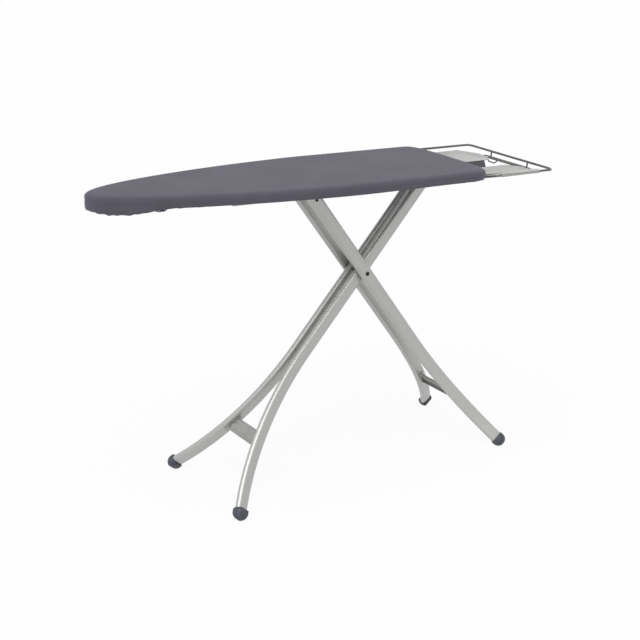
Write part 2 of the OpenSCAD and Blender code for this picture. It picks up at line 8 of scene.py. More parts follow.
import bmesh
import bpy
from mathutils import Matrix, Vector


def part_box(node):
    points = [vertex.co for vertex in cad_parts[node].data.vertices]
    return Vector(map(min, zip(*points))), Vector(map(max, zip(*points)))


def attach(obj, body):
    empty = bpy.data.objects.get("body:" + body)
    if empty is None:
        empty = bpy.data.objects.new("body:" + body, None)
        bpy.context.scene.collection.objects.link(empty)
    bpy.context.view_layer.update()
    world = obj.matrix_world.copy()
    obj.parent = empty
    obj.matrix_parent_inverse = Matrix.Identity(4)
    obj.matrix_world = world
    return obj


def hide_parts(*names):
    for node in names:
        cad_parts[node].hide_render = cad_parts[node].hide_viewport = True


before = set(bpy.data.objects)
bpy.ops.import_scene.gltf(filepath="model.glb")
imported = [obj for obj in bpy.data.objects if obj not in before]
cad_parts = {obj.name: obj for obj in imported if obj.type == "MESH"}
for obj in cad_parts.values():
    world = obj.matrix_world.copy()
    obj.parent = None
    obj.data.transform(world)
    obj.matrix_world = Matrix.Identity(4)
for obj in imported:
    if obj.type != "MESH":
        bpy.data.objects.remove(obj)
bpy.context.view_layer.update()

# ---- Studio ----
# A pale floor that runs off to white, an even white sky, a broad soft lamp overhead on the left
# and a weak one low behind the tail. The camera stands off the nose and looks slightly down.
scene = bpy.context.scene
scene.view_settings.view_transform = "Standard"

camera_at = Vector((-2.0576, -2.6996, 1.6944))
yaw, pitch, roll = radians(37.606), radians(19.709), radians(3.887)
ahead = Vector((sin(yaw) * cos(pitch), cos(yaw) * cos(pitch), -sin(pitch)))
level = Vector((cos(yaw), -sin(yaw), 0))
upward = level.cross(ahead)
right = cos(roll) * level + sin(roll) * upward
top = cos(roll) * upward - sin(roll) * level
camera = bpy.data.objects.new("camera", bpy.data.cameras.new("camera"))
scene.collection.objects.link(camera)
facing = Matrix((right, top, -ahead)).transposed().to_4x4()
camera.matrix_world = Matrix.Translation(camera_at) @ facing
camera.data.sensor_width = 36
camera.data.lens = 69.22
camera.data.clip_end = 300
scene.camera = camera

lamp = bpy.data.objects.new("soft_lamp", bpy.data.lights.new("soft_lamp", "SUN"))
lamp.data.energy = 1.9
lamp.data.angle = radians(50)
lamp.rotation_euler = (radians(14), radians(-22), 0)
scene.collection.objects.link(lamp)

behind_tail = Vector((0.80, 0.45, 0.22))
rim_lamp = bpy.data.objects.new("rim_lamp", bpy.data.lights.new("rim_lamp", "SUN"))
rim_lamp.data.energy = 0.35
rim_lamp.data.angle = radians(30)
rim_lamp.rotation_euler = behind_tail.to_track_quat("Z", "Y").to_euler()
scene.collection.objects.link(rim_lamp)


def seen_directly(tree):
    """1 where a camera, mirror or glass ray arrives, else 0."""
    path = tree.nodes.new("ShaderNodeLightPath")
    mirror = tree.nodes.new("ShaderNodeMath")
    mirror.operation = "MAXIMUM"
    tree.links.new(path.outputs["Is Camera Ray"], mirror.inputs[0])
    tree.links.new(path.outputs["Is Glossy Ray"], mirror.inputs[1])
    glass = tree.nodes.new("ShaderNodeMath")
    glass.operation = "MAXIMUM"
    tree.links.new(mirror.outputs[0], glass.inputs[0])
    tree.links.new(path.outputs["Is Transmission Ray"], glass.inputs[1])
    return glass.outputs[0]


sky_light = 0.42
sky = bpy.data.worlds.new("white_sky")
sky.use_nodes = True
scene.world = sky
brightness = sky.node_tree.nodes.new("ShaderNodeMapRange")
brightness.inputs["To Min"].default_value = sky_light
brightness.inputs["To Max"].default_value = 1.0
sky.node_tree.links.new(seen_directly(sky.node_tree), brightness.inputs["Value"])
sky.node_tree.nodes["Background"].inputs["Color"].default_value = (1, 1, 1, 1)
sky.node_tree.links.new(brightness.outputs["Result"],
                        sky.node_tree.nodes["Background"].inputs["Strength"])

floor_half, floor_grey, white_share = 60, 0.86, 0.93
floor_mesh = bpy.data.meshes.new("floor")
floor_corners = [(-floor_half, -floor_half, 0), (floor_half, -floor_half, 0),
                 (floor_half, floor_half, 0), (-floor_half, floor_half, 0)]
floor_mesh.from_pydata(floor_corners, [], [(0, 1, 2, 3)])
floor = bpy.data.objects.new("floor", floor_mesh)
scene.collection.objects.link(floor)
pale = bpy.data.materials.new("pale_floor")
pale.use_nodes = True
tree = pale.node_tree
matt = tree.nodes["Principled BSDF"]
matt.inputs["Base Color"].default_value = (floor_grey, floor_grey, floor_grey, 1)
matt.inputs["Roughness"].default_value = 1
matt.inputs["Specular IOR Level"].default_value = 0
white = tree.nodes.new("ShaderNodeEmission")
share = tree.nodes.new("ShaderNodeMath")
share.operation = "MULTIPLY"
share.inputs[1].default_value = white_share
tree.links.new(seen_directly(tree), share.inputs[0])
blend = tree.nodes.new("ShaderNodeMixShader")
tree.links.new(share.outputs[0], blend.inputs["Fac"])
tree.links.new(matt.outputs[0], blend.inputs[1])
tree.links.new(white.outputs[0], blend.inputs[2])
tree.links.new(blend.outputs[0], tree.nodes["Material Output"].inputs["Surface"])
floor_mesh.materials.append(pale)

# ---- Sewn cover ----
# Charcoal cotton twill, cut to the board with an allowance all round, drawn over the pad and
# under the rim. Its edge is turned back into a casing, where the drawstring gathers it.
nose_len, nose_power = 0.780, 1.5
tail_round, tail_power = 0.070, 3.9
cover_low, cover_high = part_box("cover")
nose_x, tail_x, half_width = cover_low.x, cover_high.x, cover_high.y
surface_z, hem_z = cover_high.z, cover_low.z


def board_side(steps):
    """Points and inward normals at even steps along the +Y side, from the nose to the tail."""
    fine = 600
    dense = []
    for i in range(fine + 1):
        a = pi / 2 * i / fine
        dense.append(Vector((nose_x + nose_len * (1 - cos(a) ** (2 / nose_power)),
                             half_width * sin(a))))
    for i in range(fine - 1, -1, -1):
        a = pi / 2 * i / fine
        dense.append(Vector((tail_x - tail_round * (1 - cos(a) ** (2 / tail_power)),
                             half_width * sin(a) ** (2 / tail_power))))
    run = [0.0]
    for p, q in zip(dense, dense[1:]):
        run.append(run[-1] + (q - p).length)
    points, j = [], 0
    for i in range(steps + 1):
        want = run[-1] * i / steps
        while j < len(run) - 2 and run[j + 1] < want:
            j += 1
        part_way = (want - run[j]) / max(run[j + 1] - run[j], 1e-9)
        points.append(dense[j].lerp(dense[j + 1], part_way))
    points[0], points[-1] = Vector((nose_x, 0)), Vector((tail_x, 0))
    normals = [Vector((1, 0))]
    for p, q in zip(points, points[2:]):
        along = (q - p).normalized()
        normals.append(Vector((along.y, -along.x)))
    normals.append(Vector((-1, 0)))
    return points, normals, run[-1] / steps


def board_ring(side, normals, inset, z, lift=None):
    """One closed ring of 3-D points at an inset from the board's edge."""
    half = []
    for i, (p, n) in enumerate(zip(side, normals)):
        q = p + inset * n
        half.append((q.x, q.y))
    count = len(half) - 1
    loop = half + [(x, -y) for x, y in half[count - 1:0:-1]]
    return [Vector((x, y, z + (lift(k) if lift else 0))) for k, (x, y) in enumerate(loop)]


def board_skin(name, rings, across, floor_too=False):
    """A mesh over the first ring's inside and down through the rings, closed below on request."""
    bm = bmesh.new()
    made = [[bm.verts.new(p) for p in ring] for ring in rings]
    count = len(rings[0])
    for upper, lower in zip(made, made[1:]):
        for k in range(count):
            m = (k + 1) % count
            bm.faces.new((upper[k], lower[k], lower[m], upper[m]))
    for ring in [made[0]] + ([made[-1]] if floor_too else []):
        last = [ring[0]] * (across + 1)
        for i in range(1, count // 2 + 1):
            far, near = ring[i], ring[(count - i) % count]
            if i == count // 2:
                column = [far] * (across + 1)
            else:
                column = [far]
                for j in range(1, across):
                    column.append(bm.verts.new(far.co.lerp(near.co, j / across)))
                column.append(near)
            for j in range(across):
                corners = []
                for v in (last[j], column[j], column[j + 1], last[j + 1]):
                    if v not in corners:
                        corners.append(v)
                if len(corners) > 2:
                    bm.faces.new(corners)
            last = column
    bmesh.ops.recalc_face_normals(bm, faces=bm.faces)
    for f in bm.faces:
        f.smooth = True
    mesh = bpy.data.meshes.new(name)
    bm.to_mesh(mesh)
    bm.free()
    made_piece = bpy.data.objects.new(name, mesh)
    scene.collection.objects.link(made_piece)
    return made_piece


half_steps = 240
side, side_normals, edge_step = board_side(half_steps)
loop_steps = 2 * half_steps
gather_deep = 0.0042
nose_gathers, tail_gathers = 0.36, 0.16
wide_fold, middle_fold, small_fold, drift = 0.0071, 0.0042, 0.0029, 0.03
least_gather, tail_share = 0.12, 0.7


def gathers(k):
    """How far the gathered hem hangs down at the kth step round the edge, from 0 to 1."""
    i = k if k <= half_steps else loop_steps - k
    x = side[i].x
    near_nose = max(0.0, 1 - (x - nose_x) / nose_gathers) ** 0.8
    near_tail = max(0.0, 1 - (tail_x - x) / tail_gathers)
    s = k * edge_step
    fold = (sin(s / middle_fold) + 0.8 * sin(s / wide_fold + 1.3)
            + 0.6 * sin(s / small_fold + 0.5 * sin(s / drift)))
    return max(near_nose, tail_share * near_tail, least_gather) * (0.55 + 0.25 * fold)


nose_sag = 0.015
sag_from, sag_to = 0.070, 0.200
sag_below, sag_depth = 0.008, 0.020
tip_share, tip_len = 0.72, 0.03


def sag(k, z):
    """How far the loose cloth round the nose hangs lower, more so towards the hem."""
    i = k if k <= half_steps else loop_steps - k
    t = min(1.0, max(0.0, (sag_to - (side[i].x - nose_x)) / (sag_to - sag_from)))
    down = min(1.0, max(0.0, (surface_z - sag_below - z) / sag_depth))
    off_tip = min(1.0, (side[i].x - nose_x) / tip_len)
    return nose_sag * t * t * (3 - 2 * t) * down * (tip_share + (1 - tip_share) * off_tip)


def hem_drop(k, z, share_of):
    """The whole drop of the cloth below its even shape."""
    return -gather_deep * share_of * gathers(k) - sag(k, z)


# Inset from the edge, height, and share of the gathers, from the top down and under to the casing
cover_section = [
    (0.0260, surface_z, 0), (0.0180, surface_z - 0.0001, 0),
    (0.0125, surface_z - 0.0004, 0), (0.0085, surface_z - 0.0011, 0),
    (0.0055, surface_z - 0.0023, 0), (0.0031, surface_z - 0.0041, 0),
    (0.0014, surface_z - 0.0066, 0), (0.0005, surface_z - 0.0098, 0),
    (0.0001, surface_z - 0.0140, 0), (0.0000, surface_z - 0.0185, 0),
    (0.0001, hem_z + 0.0105, 0.06), (0.0004, hem_z + 0.0072, 0.25),
    (0.0014, hem_z + 0.0048, 0.5), (0.0034, hem_z + 0.0035, 0.7),
    (0.0064, hem_z + 0.0031, 0.85), (0.0096, hem_z + 0.0032, 0.95),
    (0.0128, hem_z + 0.0026, 1), (0.0146, hem_z + 0.0010, 1),
    (0.0168, hem_z + 0.0001, 1), (0.0190, hem_z + 0.0010, 1),
    (0.0200, hem_z + 0.0032, 1), (0.0192, hem_z + 0.0056, 1),
    (0.0170, hem_z + 0.0068, 1), (0.0146, hem_z + 0.0060, 1)]
cover_rings = []
for inset, z, share_of in cover_section:
    cover_rings.append(board_ring(side, side_normals, inset, z,
                                  lambda k, z=z, a=share_of: hem_drop(k, z, a)))
cover = board_skin("sewn_cover", cover_rings, across=16)


def settle(piece, held_above, far, frames):
    """Lets gravity and the cloth's own stiffness relax what lies below a height, by at most far."""
    start = [v.co.copy() for v in piece.data.vertices]
    group = piece.vertex_groups.new(name="held")
    for v in piece.data.vertices:
        group.add([v.index], 1.0 if v.co.z > held_above else 0.0, "REPLACE")
    cloth = piece.modifiers.new("cloth", "CLOTH")
    cloth.settings.vertex_group_mass = "held"
    cloth.settings.quality = 6
    cloth.settings.mass = 0.25
    cloth.settings.tension_stiffness = 25
    cloth.settings.compression_stiffness = 12
    cloth.settings.shear_stiffness = 5
    cloth.settings.bending_stiffness = 1.5
    cloth.settings.air_damping = 4
    cloth.point_cache.frame_end = frames
    for f in range(1, frames + 1):
        scene.frame_set(f)
    relaxed = piece.evaluated_get(bpy.context.evaluated_depsgraph_get())
    moved = [v.co.copy() for v in relaxed.data.vertices]
    piece.modifiers.remove(cloth)
    piece.vertex_groups.remove(group)
    scene.frame_set(1)
    for v, was, now in zip(piece.data.vertices, start, moved):
        shift = now - was
        if shift.length > far:
            shift = shift * (far / shift.length)
        v.co = was + shift


settle(cover, held_above=surface_z - 0.016, far=0.0014, frames=14)


def tree_socket(tree, name, kind, into=True, value=None):
    """A named input or output of a node tree."""
    way = "INPUT" if into else "OUTPUT"
    made = tree.interface.new_socket(name=name, in_out=way, socket_type=kind)
    if value is not None:
        made.default_value = value
    return made


def noise(tree, vector, scale, detail=3.0):
    """A noise texture on a vector. Scale is a number or a socket."""
    made = tree.nodes.new("ShaderNodeTexNoise")
    made.inputs["Detail"].default_value = detail
    tree.links.new(vector, made.inputs["Vector"])
    if isinstance(scale, (int, float)):
        made.inputs["Scale"].default_value = scale
    else:
        tree.links.new(scale, made.inputs["Scale"])
    return made.outputs["Fac"]


def spread(tree, value, low, high, start=0.3, end=0.7):
    """A value taken from start..end to low..high."""
    made = tree.nodes.new("ShaderNodeMapRange")
    tree.links.new(value, made.inputs["Value"])
    for name, amount in (("From Min", start), ("From Max", end), ("To Min", low), ("To Max", high)):
        if isinstance(amount, (int, float)):
            made.inputs[name].default_value = amount
        else:
            tree.links.new(amount, made.inputs[name])
    return made.outputs["Result"]


def maths(tree, operation, a, b):
    """One sum of two values, each a number or a socket."""
    made = tree.nodes.new("ShaderNodeMath")
    made.operation = operation
    for socket, amount in zip(made.inputs, (a, b)):
        if isinstance(amount, (int, float)):
            socket.default_value = amount
        else:
            tree.links.new(amount, socket)
    return made.outputs[0]


def tint(tree, share_in, a, b):
    """A colour between two others, each a colour or a socket."""
    made = tree.nodes.new("ShaderNodeMix")
    made.data_type = "RGBA"
    tree.links.new(share_in, made.inputs[0])
    for socket, amount in ((made.inputs[6], a), (made.inputs[7], b)):
        if isinstance(amount, tuple):
            socket.default_value = (*amount, 1)
        else:
            tree.links.new(amount, socket)
    return made.outputs[2]


# Threads that cross over and under, with a slub here and there
crossing_share, slub_share, cloud_share = 0.28, 0.34, 0.5
weave = bpy.data.node_groups.new("weave", "ShaderNodeTree")
tree_socket(weave, "Vector", "NodeSocketVector")
tree_socket(weave, "Threads", "NodeSocketFloat", value=300.0)
tree_socket(weave, "Light", "NodeSocketColor")
tree_socket(weave, "Dark", "NodeSocketColor")
tree_socket(weave, "Colour", "NodeSocketColor", into=False)
tree_socket(weave, "Height", "NodeSocketFloat", into=False)
tree_socket(weave, "Roughness", "NodeSocketFloat", into=False)
enter = weave.nodes.new("NodeGroupInput")
leave = weave.nodes.new("NodeGroupOutput")
threads = []
for direction in ("X", "Y"):
    band = weave.nodes.new("ShaderNodeTexWave")
    band.bands_direction = direction
    band.inputs["Distortion"].default_value = 0.6
    weave.links.new(enter.outputs["Vector"], band.inputs["Vector"])
    weave.links.new(enter.outputs["Threads"], band.inputs["Scale"])
    threads.append(band.outputs["Fac"])
crossing = maths(weave, "MAXIMUM", *threads)
slub = noise(weave, enter.outputs["Vector"], 160.0, 2.0)
cloudy = noise(weave, enter.outputs["Vector"], 9.0, 4.0)
shade = maths(weave, "ADD", maths(weave, "MULTIPLY", crossing, crossing_share),
              maths(weave, "ADD", maths(weave, "MULTIPLY", slub, slub_share),
                    maths(weave, "MULTIPLY", cloudy, cloud_share)))
weave.links.new(tint(weave, spread(weave, shade, 0.0, 1.0, start=0.3, end=0.85),
                     enter.outputs["Dark"], enter.outputs["Light"]), leave.inputs["Colour"])
weave.links.new(maths(weave, "ADD", crossing, maths(weave, "MULTIPLY", slub, 0.7)),
                leave.inputs["Height"])
weave.links.new(spread(weave, slub, 0.82, 0.95), leave.inputs["Roughness"])


def finish(name, metallic=0.0, roughness=0.5):
    """A new material with its node tree and its Principled shader."""
    made = bpy.data.materials.new(name)
    made.use_nodes = True
    shader = made.node_tree.nodes["Principled BSDF"]
    shader.inputs["Metallic"].default_value = metallic
    shader.inputs["Roughness"].default_value = roughness
    return made, made.node_tree, shader


def coordinates(tree, kind="Object", stretch=(1, 1, 1), turn=(0, 0, 0)):
    """A piece's own coordinates, stretched and turned."""
    source = tree.nodes.new("ShaderNodeTexCoord")
    mapping = tree.nodes.new("ShaderNodeMapping")
    mapping.inputs["Scale"].default_value = stretch
    mapping.inputs["Rotation"].default_value = turn
    tree.links.new(source.outputs[kind], mapping.inputs["Vector"])
    return mapping.outputs["Vector"]


def bump(tree, shader, height, depth, strength=0.5):
    """Relief of a real depth in metres on the shader's normal."""
    made = tree.nodes.new("ShaderNodeBump")
    made.inputs["Strength"].default_value = strength
    made.inputs["Distance"].default_value = depth
    tree.links.new(height, made.inputs["Height"])
    tree.links.new(made.outputs["Normal"], shader.inputs["Normal"])


def woven(name, light, dark, count, depth):
    """A cloth finish of two thread colours."""
    made, tree, shader = finish(name, roughness=0.9)
    used = tree.nodes.new("ShaderNodeGroup")
    used.node_tree = weave
    used.inputs["Threads"].default_value = count
    used.inputs["Light"].default_value = (*light, 1)
    used.inputs["Dark"].default_value = (*dark, 1)
    tree.links.new(coordinates(tree), used.inputs["Vector"])
    tree.links.new(used.outputs["Colour"], shader.inputs["Base Color"])
    tree.links.new(used.outputs["Roughness"], shader.inputs["Roughness"])
    bump(tree, shader, used.outputs["Height"], depth)
    shader.inputs["Specular IOR Level"].default_value = 0.25
    shader.inputs["Sheen Weight"].default_value = 0.25
    shader.inputs["Sheen Roughness"].default_value = 0.45
    shader.inputs["Sheen Tint"].default_value = (0.80, 0.80, 0.88, 1)
    return made


cloth_t = 0.0012
cover.data.materials.append(woven("charcoal_twill", (0.126, 0.121, 0.150), (0.078, 0.074, 0.095),
                                  count=330.0, depth=0.00025))
wall = cover.modifiers.new("cloth_thickness", "SOLIDIFY")
wall.thickness = cloth_t
wall.offset = -1
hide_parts("cover")
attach(cover, "board")

# ---- Foam pad ----
# Pale open-cell foam, die-cut to the board and laid loose under the cover, its top edge pulled
# round by the cloth.
pad_low, pad_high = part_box("pad")
pad_inset = pad_low.x - nose_x
pad_section = [(0.0260, pad_high.z - 0.0002), (0.0150, pad_high.z - 0.0008),
               (0.0090, pad_high.z - 0.0020),
               (0.0055, pad_high.z - 0.0036), (0.0035, pad_high.z - 0.0055),
               (pad_inset + 0.0010, pad_low.z + 0.0008), (0.0040, pad_low.z), (0.0260, pad_low.z)]
pad_rings = [board_ring(side, side_normals, inset, z) for inset, z in pad_section]
pad = board_skin("foam_pad", pad_rings, across=12, floor_too=True)
foam, tree, shader = finish("pale_foam", roughness=0.95)
where = coordinates(tree)
cell = tree.nodes.new("ShaderNodeTexVoronoi")
cell.inputs["Scale"].default_value = 900
tree.links.new(where, cell.inputs["Vector"])
tree.links.new(tint(tree, spread(tree, noise(tree, where, 14.0), 0.0, 1.0),
                    (0.72, 0.68, 0.58), (0.82, 0.79, 0.71)), shader.inputs["Base Color"])
tree.links.new(spread(tree, cell.outputs["Distance"], 0.88, 1.0, start=0.0, end=0.6),
               shader.inputs["Roughness"])
bump(tree, shader, cell.outputs["Distance"], 0.0004)
pad.data.materials.append(foam)
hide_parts("pad")
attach(pad, "board")

# ---- Bent wire and cord ----
# Round wire and cord share one tree: a bare line of points, its corners rounded to a bend, with
# a round section swept along it.
bent = bpy.data.node_groups.new("bent_wire", "GeometryNodeTree")
tree_socket(bent, "Line", "NodeSocketGeometry")
tree_socket(bent, "Wire radius", "NodeSocketFloat", value=0.003)
tree_socket(bent, "Bend radius", "NodeSocketFloat", value=0.01)
tree_socket(bent, "Finish", "NodeSocketMaterial")
tree_socket(bent, "Wire", "NodeSocketGeometry", into=False)
enter = bent.nodes.new("NodeGroupInput")
leave = bent.nodes.new("NodeGroupOutput")
line = bent.nodes.new("GeometryNodeMeshToCurve")
rounded = bent.nodes.new("GeometryNodeFilletCurve")
rounded.mode = "POLY"
rounded.inputs["Count"].default_value = 10
rounded.inputs["Limit Radius"].default_value = True
section = bent.nodes.new("GeometryNodeCurvePrimitiveCircle")
section.inputs["Resolution"].default_value = 20
swept = bent.nodes.new("GeometryNodeCurveToMesh")
swept.inputs["Fill Caps"].default_value = True
smooth = bent.nodes.new("GeometryNodeSetShadeSmooth")
real = bent.nodes.new("GeometryNodeRealizeInstances")
painted = bent.nodes.new("GeometryNodeSetMaterial")
for start, end in (
        (enter.outputs["Line"], line.inputs["Mesh"]),
        (line.outputs["Curve"], rounded.inputs["Curve"]),
        (enter.outputs["Bend radius"], rounded.inputs["Radius"]),
        (enter.outputs["Wire radius"], section.inputs["Radius"]),
        (rounded.outputs["Curve"], swept.inputs["Curve"]),
        (section.outputs["Curve"], swept.inputs["Profile Curve"]),
        (swept.outputs["Mesh"], smooth.inputs["Geometry"]),
        (smooth.outputs["Geometry"], real.inputs["Geometry"]),
        (real.outputs["Geometry"], painted.inputs["Geometry"]),
        (enter.outputs["Finish"], painted.inputs["Material"]),
        (painted.outputs["Geometry"], leave.inputs["Wire"])):
    bent.links.new(start, end)


def grown(name, tree, lines, values):
    """A plain mesh piece from lines of points and a Geometry Nodes tree with its inputs set."""
    points, edges = [], []
    for pts, closed in lines:
        first = len(points)
        points.extend(tuple(p) for p in pts)
        edges.extend((first + i, first + i + 1) for i in range(len(pts) - 1))
        if closed:
            edges.append((len(points) - 1, first))
    mesh = bpy.data.meshes.new(name)
    mesh.from_pydata(points, edges, [])
    piece = bpy.data.objects.new(name, mesh)
    scene.collection.objects.link(piece)
    modifier = piece.modifiers.new("tree", "NODES")
    modifier.node_group = tree
    for item in tree.interface.items_tree:
        if item.in_out == "INPUT" and item.name in values:
            modifier[item.identifier] = values[item.name]
    whole = piece.evaluated_get(bpy.context.evaluated_depsgraph_get())
    plain = bpy.data.meshes.new_from_object(whole)
    piece.modifiers.remove(modifier)
    piece.data = plain
    plain.name = name
    return piece


def stands_for(piece, body, slot_name, *nodes):
    """The calls that tie a finished piece to the frame."""
    if nodes:
        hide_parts(*nodes)
    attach(piece, body)
    return piece


# ---- Drawstring ----
# Braided charcoal cord through the casing, tied off in a hard knot with two short ends under the
# front of the nose.
cord_r, cord_inset, cord_z = 0.0016, 0.0170, hem_z + 0.0034
cord_line = board_ring(side, side_normals, cord_inset, cord_z, lambda k: hem_drop(k, cord_z, 1))
cord_finish = woven("charcoal_braid", (0.090, 0.086, 0.104), (0.040, 0.038, 0.048),
                    count=620.0, depth=0.0003)
drawstring = grown("drawstring_cord", bent, [(cord_line, True)],
                   {"Wire radius": cord_r, "Bend radius": 0.0, "Finish": cord_finish})
stands_for(drawstring, "board", "cord", "drawstring")
knot_back, knot_below, knot_steps, end_r = 0.165, 0.0058, 60, 0.0014
knot_step = next(k for k in range(loop_steps - 1, 0, -1) if cord_line[k].x > nose_x + knot_back)
knot_at = cord_line[knot_step] + Vector((0, 0, -knot_below))
knot_line = []
for i in range(knot_steps):
    a = 2 * pi * i / knot_steps
    r = 0.0032 + 0.0014 * cos(3 * a)
    knot_line.append(knot_at + Vector((1.4 * r * cos(2 * a), r * sin(2 * a), 0.0013 * sin(3 * a))))
ends = []
for s in (-1, 1):
    trail = ((0, 0, -0.001), (s * 0.006, 0.001, -0.0025), (s * 0.013, 0.004, -0.0015),
             (s * 0.021, 0.009, 0.0010))
    ends.append([knot_at + Vector(p) for p in trail])
knot = grown("drawstring_knot", bent, [(knot_line, True), (ends[0], False), (ends[1], False)],
             {"Wire radius": end_r, "Bend radius": 0.006, "Finish": cord_finish})
stands_for(knot, "board", "cord")

# ---- Hem stitches ----
# A row of lock stitches in darker thread that closes the casing, 4.5 mm to the stitch.
stitch_tree = bpy.data.node_groups.new("stitch_row", "GeometryNodeTree")
tree_socket(stitch_tree, "Line", "NodeSocketGeometry")
tree_socket(stitch_tree, "Pitch", "NodeSocketFloat", value=0.0045)
tree_socket(stitch_tree, "Thread radius", "NodeSocketFloat", value=0.0004)
tree_socket(stitch_tree, "Finish", "NodeSocketMaterial")
tree_socket(stitch_tree, "Stitches", "NodeSocketGeometry", into=False)
enter = stitch_tree.nodes.new("NodeGroupInput")
leave = stitch_tree.nodes.new("NodeGroupOutput")
line = stitch_tree.nodes.new("GeometryNodeMeshToCurve")
spaced = stitch_tree.nodes.new("GeometryNodeResampleCurve")
spaced.mode = "LENGTH"
ball = stitch_tree.nodes.new("GeometryNodeMeshUVSphere")
ball.inputs["Segments"].default_value = 6
ball.inputs["Rings"].default_value = 5
longer = stitch_tree.nodes.new("GeometryNodeTransform")
longer.inputs["Scale"].default_value = (4.2, 1, 1)
tangent = stitch_tree.nodes.new("GeometryNodeInputTangent")
turned = stitch_tree.nodes.new("FunctionNodeAlignRotationToVector")
turned.axis = "X"
placed = stitch_tree.nodes.new("GeometryNodeInstanceOnPoints")
real = stitch_tree.nodes.new("GeometryNodeRealizeInstances")
smooth = stitch_tree.nodes.new("GeometryNodeSetShadeSmooth")
painted = stitch_tree.nodes.new("GeometryNodeSetMaterial")
for start, end in (
        (enter.outputs["Line"], line.inputs["Mesh"]),
        (line.outputs["Curve"], spaced.inputs["Curve"]),
        (enter.outputs["Pitch"], spaced.inputs["Length"]),
        (enter.outputs["Thread radius"], ball.inputs["Radius"]),
        (ball.outputs["Mesh"], longer.inputs["Geometry"]),
        (tangent.outputs["Tangent"], turned.inputs["Vector"]),
        (spaced.outputs["Curve"], placed.inputs["Points"]),
        (longer.outputs["Geometry"], placed.inputs["Instance"]),
        (turned.outputs["Rotation"], placed.inputs["Rotation"]),
        (placed.outputs["Instances"], real.inputs["Geometry"]),
        (real.outputs["Geometry"], smooth.inputs["Geometry"]),
        (smooth.outputs["Geometry"], painted.inputs["Geometry"]),
        (enter.outputs["Finish"], painted.inputs["Material"]),
        (painted.outputs["Geometry"], leave.inputs["Stitches"])):
    stitch_tree.links.new(start, end)
stitch_inset, stitch_z = 0.0122, hem_z + 0.0026
stitch_pitch, thread_r = 0.0045, 0.0004
stitch_line = board_ring(side, side_normals, stitch_inset, stitch_z,
                         lambda k: hem_drop(k, stitch_z, 1))
thread = woven("dark_thread", (0.075, 0.072, 0.092), (0.045, 0.043, 0.056),
               count=700.0, depth=0.0001)
stitches = grown("hem_stitches", stitch_tree, [(stitch_line, True)],
                 {"Pitch": stitch_pitch, "Thread radius": thread_r, "Finish": thread})
stands_for(stitches, "board", "cover_cloth")

# ---- Leg tubes ----
# Flat-oval steel tube, 40 x 20 mm, drawn and coated in satin silver. Each runs straight past
# the crossing and then sweeps out on one long radius to its foot.
arm_up, arm_down, lean = 0.345, 0.773, radians(50)
tube_wide, tube_thick, tube_wall, tube_top = 0.040, 0.020, 0.0015, 0.018
sweep_r, stance = 0.800, 0.362
pin_low, pin_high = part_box("crossing_pin")
crossing_at = (pin_low + pin_high) / 2
oval_steps, tube_steps = 28, 90


def oval(thick, wide, count):
    """Points round a flat oval, thin along the first axis."""
    r, straight = thick / 2, (wide - thick) / 2
    turns = [pi * i / count for i in range(count + 1)]
    half = [(r * cos(a), straight + r * sin(a)) for a in turns]
    return half + [(-x, -y) for x, y in half]


def leg_point(along, out, across, leans_back, on_front):
    """A point of a leg's own axes in the standing board."""
    x = along * cos(lean) + across * sin(lean)
    z = -along * sin(lean) + across * cos(lean)
    return Vector((crossing_at.x + (-x if leans_back else x), -out if on_front else out,
                   crossing_at.z + z))


def leg_ring(y0, at, thick, wide, leans_back, on_front):
    """The tube's section at a distance along the leg, and its place in the sweep."""
    turn_all = acos(1 - (stance / 2 - y0) / sweep_r)
    start = arm_down - sweep_r * sin(turn_all)
    if at <= start:
        u, out, turn = at, y0, 0.0
    else:
        turn = (at - start) / sweep_r
        u, out = start + sweep_r * sin(turn), y0 + sweep_r * (1 - cos(turn))
    return [leg_point(u - p * sin(turn), out + p * cos(turn), q, leans_back, on_front)
            for p, q in oval(thick, wide, oval_steps)]


def lofted(name, rings, tube=True, run=None):
    """A skin through rings of points, with a UV map in metres along and around."""
    bm = bmesh.new()
    uv = bm.loops.layers.uv.new("run")
    made = [[bm.verts.new(p) for p in ring] for ring in rings]
    count = len(rings[0])
    round_run = [0.0]
    for k in range(count):
        round_run.append(round_run[-1] + (rings[0][(k + 1) % count] - rings[0][k]).length)
    pairs = list(zip(range(len(made)), range(1, len(made))))
    if tube:
        pairs.append((len(made) - 1, 0))
    for a, b in pairs:
        for k in range(count):
            m = (k + 1) % count
            face = bm.faces.new((made[a][k], made[a][m], made[b][m], made[b][k]))
            face.smooth = True
            for loop, (i, j) in zip(face.loops, ((a, k), (a, k + 1), (b, k + 1), (b, k))):
                loop[uv].uv = (run[i] if run else i / len(made), round_run[j])
    if not tube:
        bm.faces.new(made[0])
        bm.faces.new(made[-1])
    bmesh.ops.recalc_face_normals(bm, faces=bm.faces)
    mesh = bpy.data.meshes.new(name)
    bm.to_mesh(mesh)
    bm.free()
    piece = bpy.data.objects.new(name, mesh)
    scene.collection.objects.link(piece)
    return piece


